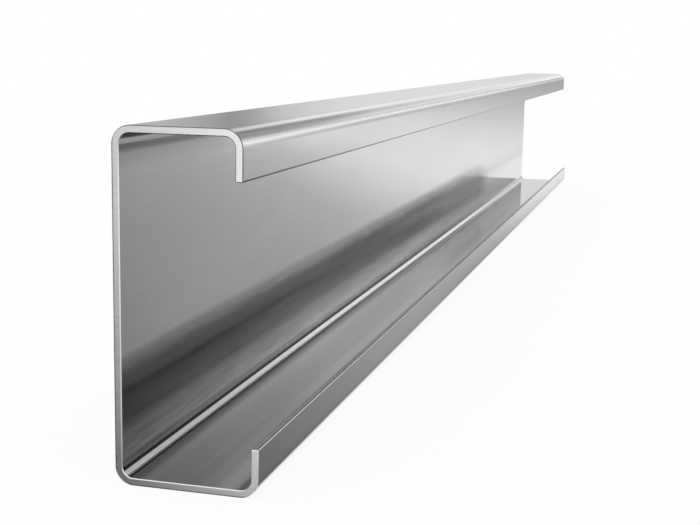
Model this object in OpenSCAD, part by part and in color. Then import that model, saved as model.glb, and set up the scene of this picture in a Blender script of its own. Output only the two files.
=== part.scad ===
/* [Section] */
// Overall height of the section, flange back to flange back
height = 150; // [100:1:300]
// Width of the upper flange, web back to lip face
top_flange_w = 56; // [45:1:90]
// Width of the lower flange, web back to lip face
bottom_flange_w = 63; // [45:1:90]
// Depth of both lips, flange back to cut edge
lip_depth = 21; // [18:1:30]
// Thickness of the strip
thickness = 3.2; // [1.5:0.1:4]
// Inside radius of the four bends
inner_bend_r = 4.8; // [2:0.1:8]

/* [Stock] */
// Length from cut end to cut end
length = 1300; // [200:10:6000]

/* [Hidden] */

$fn = 96;
outer_bend_r = inner_bend_r + thickness;
// The origin lies under the middle of the wider flange
widest = max(top_flange_w, bottom_flange_w);
// How far a cutting shape runs past what it cuts
clear = 1;

// Solid bar the height and width of one half of the section, its two free corners rounded
module rounded_half(width, r) {
    translate([0, r]) square([width, height / 2 - r]);
    translate([r, 0]) square([width - 2 * r, r]);
    translate([r, r]) circle(r);
    translate([width - r, r]) circle(r);
}

// Lower half of a lipped channel of this flange width, web on the left
module half_section(flange_w) {
    inside_w = flange_w - 2 * thickness;
    difference() {
        rounded_half(flange_w, outer_bend_r);
        // Hollow behind the web, rounded at the two bends
        translate([thickness, thickness]) {
            translate([0, inner_bend_r]) square([inside_w, height / 2 + clear]);
            translate([inner_bend_r, 0]) square([inside_w - 2 * inner_bend_r, height / 2]);
            translate([inner_bend_r, inner_bend_r]) circle(inner_bend_r);
            translate([inside_w - inner_bend_r, inner_bend_r]) circle(inner_bend_r);
        }
        // Open side above the lip
        translate([thickness, lip_depth]) square([flange_w, height]);
    }
}

// Whole section, standing on its lower flange with the open side towards +X
module section() {
    half_section(bottom_flange_w);
    translate([0, height]) mirror([0, 1]) half_section(top_flange_w);
}

// One length of strip, rolled into a lipped channel, lying along Y
module purlin() {
    color("silver")
        translate([-widest / 2, length / 2, 0])
            rotate([90, 0, 0])
                linear_extrude(length) section();
}

purlin();
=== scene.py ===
"""One length of rolled C purlin in bright steel strip, on a pale studio floor."""

import math

import bmesh
import bpy
from mathutils import Euler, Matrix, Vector


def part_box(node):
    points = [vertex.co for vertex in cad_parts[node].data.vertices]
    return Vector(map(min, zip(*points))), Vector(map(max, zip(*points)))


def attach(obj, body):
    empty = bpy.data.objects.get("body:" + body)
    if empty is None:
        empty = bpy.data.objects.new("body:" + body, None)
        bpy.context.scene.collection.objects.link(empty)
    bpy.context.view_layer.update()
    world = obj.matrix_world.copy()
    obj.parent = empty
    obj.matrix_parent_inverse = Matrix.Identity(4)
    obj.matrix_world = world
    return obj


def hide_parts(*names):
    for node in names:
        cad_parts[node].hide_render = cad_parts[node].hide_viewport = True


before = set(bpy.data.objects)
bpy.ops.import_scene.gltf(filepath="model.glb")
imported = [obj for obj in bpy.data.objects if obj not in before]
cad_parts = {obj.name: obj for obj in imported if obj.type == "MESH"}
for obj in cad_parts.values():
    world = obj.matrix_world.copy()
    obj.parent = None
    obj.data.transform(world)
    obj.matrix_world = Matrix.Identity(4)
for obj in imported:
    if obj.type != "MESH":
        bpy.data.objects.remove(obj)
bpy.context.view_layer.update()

MM = 0.001

# The strip and its bends, in metres. The overall sizes come from the purlin in model.glb.
LOW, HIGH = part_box("purlin")
WEB_BACK_X = LOW.x
LOWER_LIP_X = HIGH.x
UPPER_LIP_X = WEB_BACK_X + 56 * MM
LIP_DEPTH = 21 * MM
STRIP = 3.2 * MM
OUTER_BEND_R = 8 * MM
ARRIS = 0.32 * MM

# How finely the bends, the flats and the length are divided
BEND_STEPS = 18
FLAT_STEP = 12 * MM
LENGTH_STEP = 20 * MM
BEND_MARGIN = 1 * MM

# The camera, where it stood in the photograph
CAMERA_AT = (0.1895, -1.1082, 0.1824)
CAMERA_PITCH, CAMERA_ROLL, CAMERA_TURN = 80.178, 1.100, 14.824
CAMERA_LENS = 64.26


# The stage: a white floor, and round the purlin a half-round tent and cards that only reflections show.
# Levels are in parts of white. Places are in metres along the purlin's axis.
FLOOR_REACH = 12
FLOOR_SHADOW = 0.09
BRIGHTEST = 1.3
TENT_R = 1.0
TENT_AXIS_Z = 0.1
TENT_REACH = (-3.0, 12.0)
# Angles round the tent in degrees from the right-hand floor, and the levels there at seven places along it, a row to
# each place
TENT_ANGLES = (0, 15, 28, 29, 30.5, 32.5, 34.5, 36.5, 38.5, 42, 47, 60, 68, 88, 97, 106, 118, 130)
TENT_PLACES = (0.0, 1.1, 1.9, 2.6, 3.6, 5.2, 8.0)
TENT_LEVELS = (
    (1.00, 1.00, 1.00, 1.00, 1.00, 1.00, 1.00, 1.00, 1.00, 1.00, 1.00, 1.00, 1.00, 1.00, 1.00, 1.00, 1.00, 1.00),
    (0.36, 0.50, 1.10, 0.80, 0.02, 0.00, 0.16, 0.16, 0.30, 0.30, 0.45, 0.46, 0.16, 0.26, 0.50, 0.58, 0.58, 0.45),
    (0.85, 1.05, 1.25, 1.05, 0.08, 0.03, 0.37, 0.40, 0.60, 0.57, 0.49, 0.52, 0.47, 0.30, 0.40, 0.82, 0.80, 0.60),
    (0.72, 0.98, 1.30, 1.16, 0.12, 0.08, 0.48, 0.58, 0.72, 0.73, 0.72, 0.76, 0.48, 0.42, 0.75, 1.08, 1.05, 0.90),
    (0.64, 0.80, 1.30, 1.18, 0.08, 0.05, 0.45, 0.48, 0.58, 0.62, 1.00, 0.95, 0.66, 0.80, 1.00, 1.06, 1.02, 0.95),
    (0.54, 0.66, 1.30, 1.22, 0.02, 0.00, 0.28, 0.32, 0.34, 0.32, 0.95, 0.95, 0.76, 0.97, 0.98, 0.96, 0.95, 0.90),
    (0.50, 0.60, 1.20, 1.00, 0.04, 0.02, 0.26, 0.28, 0.26, 0.28, 0.90, 0.95, 0.95, 0.95, 0.92, 0.90, 0.88, 0.82),
)
# The left side has its own levels along the tent
TENT_LEFT_FROM = (130, 145)
TENT_LEFT = ((-3.0, 0.25), (0.0, 0.42), (1.6, 0.52), (2.05, 0.32), (2.5, 0.64), (3.1, 0.76), (4.5, 0.79), (12.0, 0.80))
FRONT_WALL, BACK_WALL = 1.0, 1.0
CARD_GAP = 0.0001
CARD_RISE = 0.0002
RIGHT_CARD_SLANT = 1.7
RIGHT_CARD_NEAR = ((-1.5, 0.20), (-0.69, 0.22), (-0.48, 0.42), (-0.17, 0.53), (0.05, 0.62), (0.25, 0.84), (0.5, 1.0))
RIGHT_CARD_FAR = ((0.5, 1.0), (1.0, 0.96), (1.3, 0.88), (1.7, 0.78), (2.7, 0.61), (4.0, 0.51), (6.0, 0.42), (12.0, 0.40))
# The right card is a little darker close beside the lower lip: how far out, and how much at places along it
BESIDE_LIP = 0.055
BESIDE_LIP_LEVELS = ((-0.35, 0.93), (-0.23, 0.88), (-0.11, 0.74), (0.05, 0.74), (0.22, 0.81), (0.45, 0.80))
LEFT_CARD = ((-0.65, 0.30), (0.0, 0.45), (12.0, 0.50))
FRONT_CARD_SLANT = 0.43
FRONT_CARD_SIDES = (-0.055, 0.06)
FRONT_CARD_LEFT = ((-3.0, 0.17), (-1.2, 0.17), (-0.85, 0.08), (-0.65, 0.02))
FRONT_CARD_RIGHT = ((-3.0, 1.30), (-1.2, 1.25), (-0.85, 0.92), (-0.65, 0.48))

# The steel's level, and the painted highlights and painted shade that stand in for reflections along some bends,
# the lower lip's inside, the flange and the web: the distance round the strip in mm from the upper lip's edge, and the
# level there. Then how far from the near end, in metres, these lines start to fade and where they are gone.
STEEL = 0.6
UPPER_LIP_EDGE = ((0.0, 0.08), (0.75, 0.10), (1.05, 0.60))
UPPER_LIP_NEAR = (
    (0.9, 0.60), (1.1, 0.70), (12.0, 0.70), (14.0, 0.60), (17.0, 0.60), (17.4, 0.50), (18.1, 0.60), (18.6, 0.80),
    (19.6, 0.72), (20.3, 0.60),
)
UPPER_LIP_BEND = (
    (13.6, 0.60), (14.4, 0.82), (15.2, 0.96), (16.8, 0.98), (17.1, 0.62), (17.6, 0.59), (18.1, 0.43), (18.8, 0.42),
    (19.4, 0.49), (20.3, 0.55), (21.5, 0.66), (22.3, 0.66), (23.2, 0.64), (25.0, 0.63), (26.5, 0.60),
)
UPPER_LIP_BEND_FAR = (
    (13.6, 0.60), (14.4, 0.45), (15.2, 0.57), (16.9, 0.60), (17.3, 0.98), (18.9, 0.96), (19.6, 0.74), (20.3, 0.65),
    (21.2, 0.60),
)
LOWER_LIP_BEND = ((270, 0.60), (274, 0.24), (280.5, 0.30), (283, 0.46), (286, 0.60))
LOWER_LIP_INSIDE = (
    (300, 0.60), (303, 0.60), (307, 0.45), (311, 0.35), (314, 0.28), (317, 0.20), (319.5, 0.10), (321.2, 0.25),
    (322.5, 0.56), (324, 0.60),
)
LOWER_LIP_INSIDE_FAR = ((298, 0.60), (301, 0.40), (307, 0.34), (314, 0.34), (319, 0.30), (322, 0.60))
LOWER_BEND = (
    (356, 0.60), (359.7, 0.58), (361.7, 0.51), (363.7, 0.34), (364.7, 0.26), (365.6, 0.19), (366.5, 0.24),
    (367.2, 0.23), (367.7, 0.18), (368.2, 0.17), (368.6, 0.10), (368.9, 0.06), (369.4, 0.07), (369.8, 0.36),
    (370.1, 0.93), (370.5, 0.98), (371.9, 0.98), (372.4, 0.68), (372.8, 0.26), (373.2, 0.11), (374.3, 0.13),
    (374.8, 0.22), (375.2, 0.50), (375.8, 0.92), (378.5, 0.98), (379.8, 0.78), (382.0, 0.60),
)
LOWER_BEND_FAR = (
    (363.5, 0.60), (365.0, 0.47), (366.0, 0.47), (366.8, 0.60), (367.4, 0.50), (367.9, 0.22), (369.6, 0.22),
    (370.0, 0.60), (372.0, 0.60), (372.4, 0.84), (372.8, 1.0), (373.2, 0.9), (373.8, 0.60),
)
WEB_LOW = (
    (379, 0.60), (381.5, 0.66), (385.5, 0.485), (390, 0.42), (395, 0.42), (400.5, 0.47), (403.5, 0.65),
    (407, 0.73), (409.5, 0.62), (411.5, 0.54), (414, 0.62), (417, 0.77), (421, 0.70), (426, 0.60),
)
WEB_LOW_MIDDLE = ((402, 0.60), (407, 0.46), (411, 0.53), (414, 0.66), (417.3, 0.77), (424, 0.67), (430, 0.60))
WEB_LOW_FAR = ((381, 0.60), (386, 0.47), (391, 0.41), (396, 0.33), (402, 0.34), (407, 0.47), (413, 0.60))
WEB_FOOT_FAR = ((374, 0.60), (375.5, 0.42), (379.3, 0.48), (383, 0.60))
FLANGE = ((341, 0.60), (345, 0.70), (349, 0.74), (354, 0.74), (358, 0.66), (361, 0.60))
FLANGE_NEAR = ((330, 0.60), (334, 0.50), (337.7, 0.48), (341, 0.54), (344, 0.60))
FLANGE_FAR = ((330, 0.60), (334, 0.50), (341, 0.48), (346, 0.54), (351, 0.60))
UPPER_BEND = (
    (498, 0.60), (504, 0.50), (508, 0.46), (509.5, 0.55), (511.3, 0.62), (512.1, 0.3), (512.8, 0.1), (518, 0.08),
    (520, 0.4), (523, 0.60),
)
# The painted highlights and painted shade, each with the places along the length where it fades in and out
PAINTED_LIGHT_AND_SHADE = (
    (UPPER_LIP_EDGE, (-0.2, -0.1, 1.3, 1.4)), (UPPER_LIP_NEAR, (-0.2, -0.1, 0.06, 0.16)),
    (UPPER_LIP_BEND, (-0.2, -0.1, 0.65, 1.15)), (UPPER_LIP_BEND_FAR, (0.05, 0.22, 1.3, 1.4)),
    (LOWER_LIP_BEND, (-0.2, -0.1, 1.3, 1.4)), (LOWER_LIP_INSIDE, (-0.2, -0.1, 1.3, 1.4)),
    (LOWER_LIP_INSIDE_FAR, (0.65, 0.92, 1.3, 1.4)), (LOWER_BEND, (-0.2, -0.1, 0.75, 1.10)),
    (LOWER_BEND_FAR, (0.08, 0.26, 0.75, 1.10)),
    (WEB_LOW, (-0.2, -0.1, 0.55, 0.85)), (WEB_LOW_MIDDLE, (0.08, 0.42, 0.75, 1.0)),
    (WEB_LOW_FAR, (0.65, 0.80, 0.93, 0.99)), (WEB_FOOT_FAR, (0.30, 0.65, 0.93, 0.99)),
    (FLANGE, (-0.2, -0.1, 0.70, 1.0)), (FLANGE_NEAR, (-0.2, -0.1, 0.09, 0.15)),
    (FLANGE_FAR, (0.60, 0.75, 0.93, 0.99)),
    (UPPER_BEND, (-0.2, -0.1, 0.12, 0.40)),
)
# Where round the strip the bends are rougher than the flats, and by how much
WORKED = ((12.5, 0.0), (14.0, 1.0), (17.6, 1.0), (18.8, 0.0)), ((366.5, 0.0), (368.5, 1.0), (374.5, 1.0), (376.5, 0.0))
WORKED_ROUGHNESS = (0.20, 0.09)
# The slit edge of the lower lip, darker along both of its sides
SLIT_SIDES = ((297.5, 0.10), (297.95, 0.15), (298.3, 0.70), (299.6, 0.70), (299.85, 0.42), (300.1, 0.38), (300.4, 0.55))

# Fine streaks left by the rolls: across and along the grain, in waves to the metre, and their strength
STREAKS_ACROSS, STREAKS_ALONG = 620, 20
HAIRS_ACROSS, HAIRS_ALONG = 3200, 45
CLOUDS_ACROSS, CLOUDS_ALONG = 28, 6
STREAK_SHADE = 0.05
CLOUD_SHADE = 0.08
STREAK_DEPTH = 0.0000015
HAIR_DEPTH = 0.0000006
ROUGHNESS = (0.08, 0.12)
SAW_MARKS_ACROSS, SAW_MARKS_ALONG = 1500, 60
SAW_SHADE = 0.12
SAW_DEPTH = 0.000004
# The painted shade line along the cut end's outer side
RIM_SHADE_FROM = (0.82, 0.94)
RIM_SHADE_LEVEL = 0.33


class Station:
    """A place along the rolled strip: a point on its outer side, the way outwards and the way onwards."""

    def __init__(self, at, out, on):
        self.at, self.out, self.on = Vector(at), Vector(out), Vector(on)


def straight(start, end, out):
    """Stations along a flat of the section, with one close to each bend."""
    start, end = Vector(start), Vector(end)
    way = (end - start).normalized()
    span = (end - start).length - 2 * BEND_MARGIN
    count = max(1, round(span / FLAT_STEP))
    places = [0, *(BEND_MARGIN + span * i / count for i in range(count + 1)), (end - start).length]
    return [Station(start + way * d, out, way) for d in places]


def bend(centre, start_deg):
    """Stations round a bend of 90 degrees, without its two ends, turning anticlockwise."""
    found = []
    for i in range(1, BEND_STEPS):
        angle = math.radians(start_deg + 90 * i / BEND_STEPS)
        out = Vector((math.cos(angle), math.sin(angle)))
        on = Vector((-out.y, out.x))
        found.append(Station(Vector(centre) + out * OUTER_BEND_R, out, on))
    return found


def strip_stations():
    """The strip's outer side from the upper lip's edge round to the lower lip's, as x and z."""
    r = OUTER_BEND_R
    left, low, high = WEB_BACK_X, LOW.z, HIGH.z
    upper, lower = UPPER_LIP_X, LOWER_LIP_X
    return [
        *straight((upper, high - LIP_DEPTH), (upper, high - r), (1, 0)),
        *bend((upper - r, high - r), 0),
        *straight((upper - r, high), (left + r, high), (0, 1)),
        *bend((left + r, high - r), 90),
        *straight((left, high - r), (left, low + r), (-1, 0)),
        *bend((left + r, low + r), 180),
        *straight((left + r, low), (lower - r, low), (0, -1)),
        *bend((lower - r, low + r), 270),
        *straight((lower, low + r), (lower, low + LIP_DEPTH), (1, 0)),
    ]


def ring(stations, inset):
    """The section's outline as x and z: the outer side, then the inner side back. Its corners are cut off."""
    outer, inner = [], []
    last = len(stations) - 1
    for i, s in enumerate(stations):
        at_edge = i in (0, last)
        drawn_in = max(inset, ARRIS) if at_edge else inset
        back = 0
        if i <= 1:
            back = inset + (ARRIS if i == 1 else 0) - (s.at - stations[0].at).length
        if i >= last - 1:
            back = (s.at - stations[last].at).length - inset - (ARRIS if i == last - 1 else 0)
        at = s.at + s.on * back
        outer.append(at - s.out * drawn_in)
        inner.append(at - s.out * (STRIP - drawn_in))
    return outer + inner[::-1]


def length_places():
    """Each ring's place along the length and how far its outline is drawn in."""
    start, end = LOW.y, HIGH.y
    count = round((end - start) / LENGTH_STEP)
    inner_start, inner_end = start + ARRIS, end - ARRIS
    middle = [(inner_start + (inner_end - inner_start) * i / count, 0) for i in range(count + 1)]
    return [(start, ARRIS), *middle, (end, ARRIS)]


ROLLED, SAWN, SLIT, ARRIS_FACE, PAINTED_HIGHLIGHT_EDGE = range(5)

# The UV map whose first axis runs across the strip's grain, the name of the painted highlight on the cut end's arris,
# and the name of the painted shade along the cut end's outer side
GRAIN_MAP = "grain"
PAINTED_EDGE_HIGHLIGHT = "painted_edge_highlight"
RIM_SHADE = "rim_shade"


def painted_edge_highlight(outline, i):
    """How strong the painted highlight on the cut end's arris is at a corner of the outline: where it faces right or
    up, low down.
    """
    here, before, after = outline[i], outline[i - 1], outline[(i + 1) % len(outline)]
    way = (after - before).normalized()
    facing = max(way.y, -way.x)
    on_upper_lip = here.x > 0 and here.y > LIP_DEPTH * 2
    top = HIGH.z - OUTER_BEND_R
    height = (here.y - top) / OUTER_BEND_R
    if on_upper_lip:
        return 0.0
    return min(1.0, max(0.0, facing * 1.6 - 0.2)) * min(1.0, max(0.0, 0.6 - height))


def rim_shade(outline, i):
    """How deep the painted shade on the cut end is at a corner of its outer side: it's painted dark along the web's
    back and underneath.
    """
    before, after = outline[i - 1], outline[(i + 1) % len(outline)]
    way = (after - before).normalized()
    outer = i < len(outline) / 2
    return max(0.0, -way.y, way.x) if outer else 0.0


def strip_mesh():
    """The whole purlin as quads: its sides, its two cut ends and the small bevel round each edge."""
    stations = strip_stations()
    half = len(stations)
    around = 2 * half
    outline = ring(stations, 0)
    across = [0]
    for here, there in zip(outline, outline[1:] + outline[:1]):
        across.append(across[-1] + (there - here).length)
    bm = bmesh.new()
    grain = bm.loops.layers.uv.new(GRAIN_MAP)
    edge_highlight = bm.verts.layers.float.new(PAINTED_EDGE_HIGHLIGHT)
    rim_shaded = bm.verts.layers.float.new(RIM_SHADE)
    places = length_places()
    rings = [[bm.verts.new((x, y, z)) for x, z in ring(stations, inset)] for y, inset in places]
    for one_ring in rings:
        for i, vert in enumerate(one_ring):
            vert[edge_highlight] = painted_edge_highlight(outline, i)
            vert[rim_shaded] = rim_shade(outline, i)
    # The slit edges, and the painted highlight on the bevel along the lower lip's outer edge
    edge_sides = {half - 1: SLIT, around - 1: SLIT, half - 2: PAINTED_HIGHLIGHT_EDGE}
    for k in range(len(rings) - 1):
        lower, upper = rings[k], rings[k + 1]
        y, next_y = places[k][0], places[k + 1][0]
        for i in range(around):
            j = (i + 1) % around
            face = bm.faces.new((lower[i], lower[j], upper[j], upper[i]))
            face.material_index = edge_sides.get(i, ROLLED)
            if k in (0, len(rings) - 2):
                face.material_index = ARRIS_FACE
            corners = ((across[i], y), (across[i + 1], y), (across[i + 1], next_y), (across[i], next_y))
            for loop, corner in zip(face.loops, corners):
                loop[grain].uv = corner
    for end, turned in ((rings[0], True), (rings[-1], False)):
        for i in range(half - 1):
            corners = [end[i], end[i + 1], end[around - 2 - i], end[around - 1 - i]]
            face = bm.faces.new(corners[::-1] if turned else corners)
            face.material_index = SAWN
            for loop in face.loops:
                loop[grain].uv = (loop.vert.co.x, loop.vert.co.z)
    bmesh.ops.recalc_face_normals(bm, faces=bm.faces)
    for face in bm.faces:
        face.smooth = True
    sharp = math.radians(30)
    for edge in bm.edges:
        if edge.is_manifold and edge.calc_face_angle() > sharp:
            edge.smooth = False
    mesh = bpy.data.meshes.new("purlin_strip")
    bm.to_mesh(mesh)
    bm.free()
    return mesh


class Nodes:
    """A short way to write a material's nodes."""

    def __init__(self, name):
        self.material = bpy.data.materials.new(name)
        self.material.use_nodes = True
        self.tree = self.material.node_tree
        self.shader = self.tree.nodes["Principled BSDF"]

    def add(self, kind, **inputs):
        node = self.tree.nodes.new("ShaderNode" + kind)
        for name, value in inputs.items():
            self.set(node, name.replace("_", " "), value)
        return node

    def set(self, node, name, value):
        socket = node.inputs[name]
        if isinstance(value, bpy.types.NodeSocket):
            self.tree.links.new(value, socket)
        else:
            socket.default_value = value

    def place(self):
        """The shaded point's x, y and z."""
        at = self.add("NewGeometry").outputs["Position"]
        return self.add("SeparateXYZ", Vector=at).outputs

    def maths(self, operation, *values):
        node = self.add("Math")
        node.operation = operation
        for i, value in enumerate(values):
            self.set(node, i, value)
        return node.outputs[0]

    def between(self, value, start, end, low=0.0, high=1.0):
        """Runs smoothly from low to high as the value goes from start to end."""
        node = self.add("MapRange", Value=value)
        node.interpolation_type = "SMOOTHSTEP"
        for i, number in enumerate((start, end, low, high)):
            node.inputs[i + 1].default_value = number
        return node.outputs[0]

    def ramp(self, value, stops, brightest=BRIGHTEST):
        """Grey levels at stops from 0 to 1, as shares of the brightest."""
        node = self.add("ValToRGB", Fac=value)
        band = node.color_ramp
        while len(band.elements) < len(stops):
            band.elements.new(0.5)
        for element, (at, level) in zip(band.elements, stops):
            element.position = at
            share = level / brightest
            element.color = (share, share, share, 1)
        return node.outputs[0]

    def spread(self, value, stops, brightest=BRIGHTEST):
        """A ramp whose stops are places in metres."""
        start, end = stops[0][0], stops[-1][0]
        share = self.maths("DIVIDE", self.maths("SUBTRACT", value, start), end - start)
        return self.ramp(share, [((at - start) / (end - start), level) for at, level in stops], brightest)

    def mix(self, share, first, second):
        node = self.add("MixRGB", Fac=share, Color1=first, Color2=second)
        return node.outputs[0]


def stretched_noise(n, across, along, across_count, along_count, detail):
    """Noise drawn out along one way, with so many waves to the metre across it and along it."""
    at = n.add("CombineXYZ", X=n.maths("MULTIPLY", across, across_count), Y=n.maths("MULTIPLY", along, along_count))
    noise = n.add("TexNoise", Vector=at.outputs[0], Scale=1.0, Detail=detail, Roughness=0.6, Distortion=0.4)
    return noise.outputs[0]


def grain_axes(n):
    """The grain map's two axes: across the grain and along it."""
    at = n.add("UVMap")
    at.uv_map = GRAIN_MAP
    return n.add("SeparateXYZ", Vector=at.outputs[0]).outputs[:2]


def in_metres(stops):
    return [(place * MM, level) for place, level in stops]


def varied(n, level, noise, strength):
    """A level that swings a little with a noise."""
    swing = n.maths("MULTIPLY", n.maths("SUBTRACT", noise, 0.5), strength * 2)
    return n.maths("MULTIPLY", level, n.maths("ADD", 1.0, swing))


def grey(n, level):
    return n.add("CombineColor", Red=level, Green=level, Blue=level).outputs[0]


def rolled_steel():
    n = Nodes("rolled_steel")
    across, along = grain_axes(n)
    level = STEEL
    # Lays the painted highlights and painted shade along the bends, the lip's inside, the flange and the web onto the
    # steel's level
    for stops, places in PAINTED_LIGHT_AND_SHADE:
        line = n.spread(across, in_metres(stops), 1.0)
        share = n.spread(along, [(LOW.y + place, full) for place, full in zip(places, (0, 1, 1, 0))], 1.0)
        here = n.mix(share, (STEEL, STEEL, STEEL, 1), line)
        level = n.maths("MULTIPLY", level, n.maths("DIVIDE", here, STEEL))
    streaks = stretched_noise(n, across, along, STREAKS_ACROSS, STREAKS_ALONG, 4)
    hairs = stretched_noise(n, across, along, HAIRS_ACROSS, HAIRS_ALONG, 2)
    clouds = stretched_noise(n, across, along, CLOUDS_ACROSS, CLOUDS_ALONG, 3)
    level = varied(n, varied(n, level, streaks, STREAK_SHADE), clouds, CLOUD_SHADE)
    roughness = n.between(streaks, 0.3, 0.7, *ROUGHNESS)
    for stops, more in zip(WORKED, WORKED_ROUGHNESS):
        share = n.spread(across, in_metres(stops), 1.0)
        roughness = n.maths("ADD", roughness, n.maths("MULTIPLY", share, more))
    n.set(n.shader, "Metallic", 1.0)
    n.set(n.shader, "Base Color", grey(n, level))
    n.set(n.shader, "Roughness", roughness)
    fine = n.add("Bump", Height=hairs, Distance=HAIR_DEPTH, Strength=1.0)
    broad = n.add("Bump", Height=streaks, Distance=STREAK_DEPTH, Strength=1.0, Normal=fine.outputs[0])
    n.set(n.shader, "Normal", broad.outputs[0])
    return n.material


def plain_metal(name, level, roughness):
    n = Nodes(name)
    n.set(n.shader, "Metallic", 1.0)
    n.set(n.shader, "Base Color", (level, level, level, 1))
    n.set(n.shader, "Roughness", roughness)
    return n


def sawn_end():
    """The cut end, with fine level marks left by the saw, and a painted shade along its outer side."""
    n = plain_metal("sawn_end", 0.92, 0.35)
    x, z = grain_axes(n)
    marks = stretched_noise(n, z, x, SAW_MARKS_ACROSS, SAW_MARKS_ALONG, 3)
    painted_rim_shade = n.add("Attribute")
    painted_rim_shade.attribute_name = RIM_SHADE
    level = n.between(painted_rim_shade.outputs["Fac"], *RIM_SHADE_FROM, 0.90, RIM_SHADE_LEVEL)
    n.set(n.shader, "Base Color", grey(n, varied(n, level, marks, SAW_SHADE)))
    n.set(n.shader, "Roughness", n.between(marks, 0.3, 0.7, 0.32, 0.40))
    n.set(n.shader, "Normal", n.add("Bump", Height=marks, Distance=SAW_DEPTH, Strength=1.0).outputs[0])
    return n.material


def slit_edge():
    """The strip's slit edges, streaked along and darker at the sides."""
    n = plain_metal("slit_edge", 0.5, 0.4)
    across, along = grain_axes(n)
    streaks = stretched_noise(n, across, along, HAIRS_ACROSS, HAIRS_ALONG, 3)
    level = n.spread(across, in_metres(SLIT_SIDES), 1.0)
    n.set(n.shader, "Base Color", grey(n, varied(n, level, streaks, STREAK_SHADE)))
    return n.material


def painted_highlight_edge():
    """A painted highlight on the bevel along the lower lip's outer edge."""
    return plain_metal("painted_highlight_edge", 0.84, 0.5).material


def arris():
    """The small bevel round the cut end: painted dark as a shade line, with a painted highlight where the edge
    highlight is.
    """
    n = plain_metal("arris", 0.12, 0.35)
    edge_highlight = n.add("Attribute")
    edge_highlight.attribute_name = PAINTED_EDGE_HIGHLIGHT
    n.set(n.shader, "Base Color", n.mix(edge_highlight.outputs["Fac"], (0.12, 0.12, 0.12, 1), (0.95, 0.95, 0.95, 1)))
    return n.material


def build_purlin():
    piece = bpy.data.objects.new("purlin_strip", strip_mesh())
    bpy.context.scene.collection.objects.link(piece)
    for make in (rolled_steel, sawn_end, slit_edge, arris, painted_highlight_edge):
        piece.data.materials.append(make())
    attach(piece, "root")
    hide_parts("purlin")
    return piece


def add_camera():
    data = bpy.data.cameras.new("camera")
    data.lens = CAMERA_LENS
    data.sensor_width = 36
    data.clip_start, data.clip_end = 0.01, 100
    camera = bpy.data.objects.new("camera", data)
    camera.location = CAMERA_AT
    camera.rotation_mode = "XYZ"
    turn = Euler((0, 0, math.radians(CAMERA_TURN))).to_matrix()
    tilt = Euler((math.radians(CAMERA_PITCH), 0, 0)).to_matrix()
    roll = Euler((0, 0, math.radians(CAMERA_ROLL))).to_matrix()
    camera.rotation_euler = (turn @ tilt @ roll).to_euler("XYZ")
    bpy.context.scene.collection.objects.link(camera)
    bpy.context.scene.camera = camera


def add_floor():
    """A white floor. Where light is kept from it, it shows the object's soft shadow."""
    floor = plane("floor", (-FLOOR_REACH, -FLOOR_REACH), (FLOOR_REACH, FLOOR_REACH), 0)
    n = Nodes("floor")
    n.set(n.shader, "Base Color", (1, 1, 1, 1))
    n.set(n.shader, "Roughness", 1.0)
    n.set(n.shader, "Specular IOR Level", 0.0)
    glow = n.add("Emission", Color=(1, 1, 1, 1))
    mix = n.add("MixShader", Fac=FLOOR_SHADOW)
    n.tree.links.new(glow.outputs[0], mix.inputs[1])
    n.tree.links.new(n.shader.outputs[0], mix.inputs[2])
    n.tree.links.new(mix.outputs[0], n.tree.nodes["Material Output"].inputs["Surface"])
    n.material.cycles.emission_sampling = "NONE"
    floor.data.materials.append(n.material)


def add_world():
    world = bpy.data.worlds.new("world")
    world.use_nodes = True
    world.node_tree.nodes["Background"].inputs["Color"].default_value = (1, 1, 1, 1)
    world.node_tree.nodes["Background"].inputs["Strength"].default_value = 1.0
    bpy.context.scene.world = world


def plane(name, low, high, z):
    """A level sheet of the stage, from its least x and y to its greatest."""
    mesh = bpy.data.meshes.new(name)
    corners = [(low[0], low[1], z), (high[0], low[1], z), (high[0], high[1], z), (low[0], high[1], z)]
    mesh.from_pydata(corners, [], [(0, 1, 2, 3)])
    sheet = bpy.data.objects.new(name, mesh)
    bpy.context.scene.collection.objects.link(sheet)
    return sheet


def glow_card(card, nodes, level):
    """Makes a sheet of the stage a soft light that only the steel's reflections show."""
    glow = nodes.add("Emission", Color=level, Strength=BRIGHTEST)
    nodes.tree.links.new(glow.outputs[0], nodes.tree.nodes["Material Output"].inputs["Surface"])
    nodes.tree.nodes.remove(nodes.shader)
    nodes.material.cycles.emission_sampling = "NONE"
    card.data.materials.append(nodes.material)
    card.visible_camera = card.visible_diffuse = card.visible_shadow = False


def add_tent():
    """A long half-round tent over the purlin, with strips of light and shade along it."""
    start, end = TENT_REACH
    angles = [math.radians(a) for a in range(-8, 189, 4)]
    arc = [(TENT_R * math.cos(a), TENT_AXIS_Z + TENT_R * math.sin(a)) for a in angles]
    verts = [(x, y, z) for y in (start, end) for x, z in arc]
    count = len(arc)
    faces = [(i, i + 1, count + i + 1, count + i) for i in range(count - 1)]
    mesh = bpy.data.meshes.new("tent")
    mesh.from_pydata(verts, [], faces)
    tent = bpy.data.objects.new("tent", mesh)
    bpy.context.scene.collection.objects.link(tent)
    n = Nodes("tent")
    x, y, z = n.place()
    height = n.maths("SUBTRACT", z, TENT_AXIS_Z)
    turn = n.maths("DIVIDE", n.maths("ARCTAN2", height, x), math.pi)
    level = None
    for k, levels in enumerate(TENT_LEVELS):
        here = n.ramp(turn, [(a / 180, share) for a, share in zip(TENT_ANGLES, levels)])
        level = n.mix(n.between(y, TENT_PLACES[k - 1], TENT_PLACES[k]), level, here) if k else here
    left = n.spread(y, TENT_LEFT)
    leftness = n.between(turn, *(a / 180 for a in TENT_LEFT_FROM))
    glow_card(tent, n, n.mix(leftness, level, left))


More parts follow.
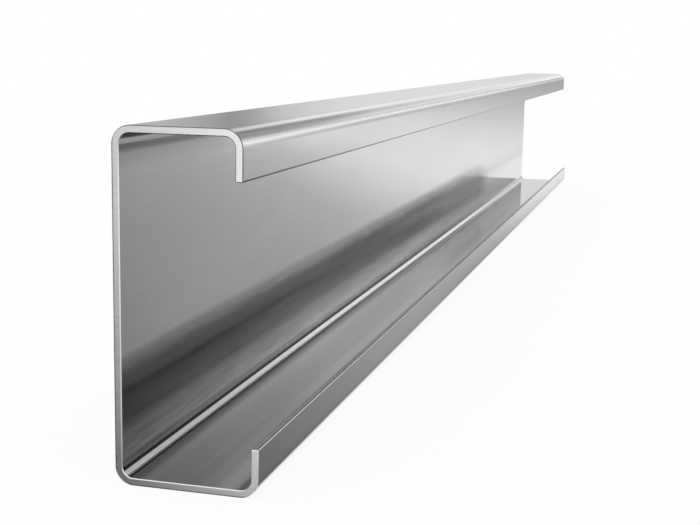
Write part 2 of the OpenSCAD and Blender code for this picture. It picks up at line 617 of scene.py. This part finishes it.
def add_end_walls():
    """The tent's two end walls."""
    for name, y, level in (("front_wall", TENT_REACH[0], FRONT_WALL), ("back_wall", TENT_REACH[1], BACK_WALL)):
        mesh = bpy.data.meshes.new(name)
        side = TENT_R * 1.1
        mesh.from_pydata([(-side, y, -0.1), (side, y, -0.1), (side, y, side), (-side, y, side)], [], [(0, 1, 2, 3)])
        wall = bpy.data.objects.new(name, mesh)
        bpy.context.scene.collection.objects.link(wall)
        n = Nodes(name)
        glow_card(wall, n, (level, level, level, 1))


def add_floor_cards():
    """Grey sheets laid on the floor round the purlin, lighter away from the camera."""
    start, end = TENT_REACH
    right = plane("right_card", (HIGH.x + CARD_GAP, LOW.y), (TENT_R, end), CARD_RISE)
    n = Nodes("right_card")
    x, y, z = n.place()
    along = n.maths("SUBTRACT", y, n.maths("MULTIPLY", x, RIGHT_CARD_SLANT))
    near, far = n.spread(along, RIGHT_CARD_NEAR), n.spread(along, RIGHT_CARD_FAR)
    level = n.mix(n.maths("GREATER_THAN", along, RIGHT_CARD_FAR[0][0]), near, far)
    share = n.between(x, HIGH.x, BESIDE_LIP, 1.0, 0.0)
    level = n.maths("MULTIPLY", level, n.mix(share, (1, 1, 1, 1), n.spread(y, BESIDE_LIP_LEVELS, 1.0)))
    glow_card(right, n, level)
    left = plane("left_card", (-TENT_R, LOW.y), (LOW.x - CARD_GAP, end), CARD_RISE)
    n = Nodes("left_card")
    x, y, z = n.place()
    glow_card(left, n, n.spread(y, LEFT_CARD))
    front = plane("front_card", (-TENT_R, start), (TENT_R, LOW.y), CARD_RISE)
    n = Nodes("front_card")
    x, y, z = n.place()
    side = n.maths("SUBTRACT", x, n.maths("MULTIPLY", n.maths("SUBTRACT", y, LOW.y), FRONT_CARD_SLANT))
    left, right = n.spread(y, FRONT_CARD_LEFT), n.spread(y, FRONT_CARD_RIGHT)
    glow_card(front, n, n.mix(n.between(side, *FRONT_CARD_SIDES), left, right))


build_purlin()
add_camera()
add_floor()
add_world()
add_tent()
add_end_walls()
add_floor_cards()
bpy.context.scene.view_settings.view_transform = "Standard"
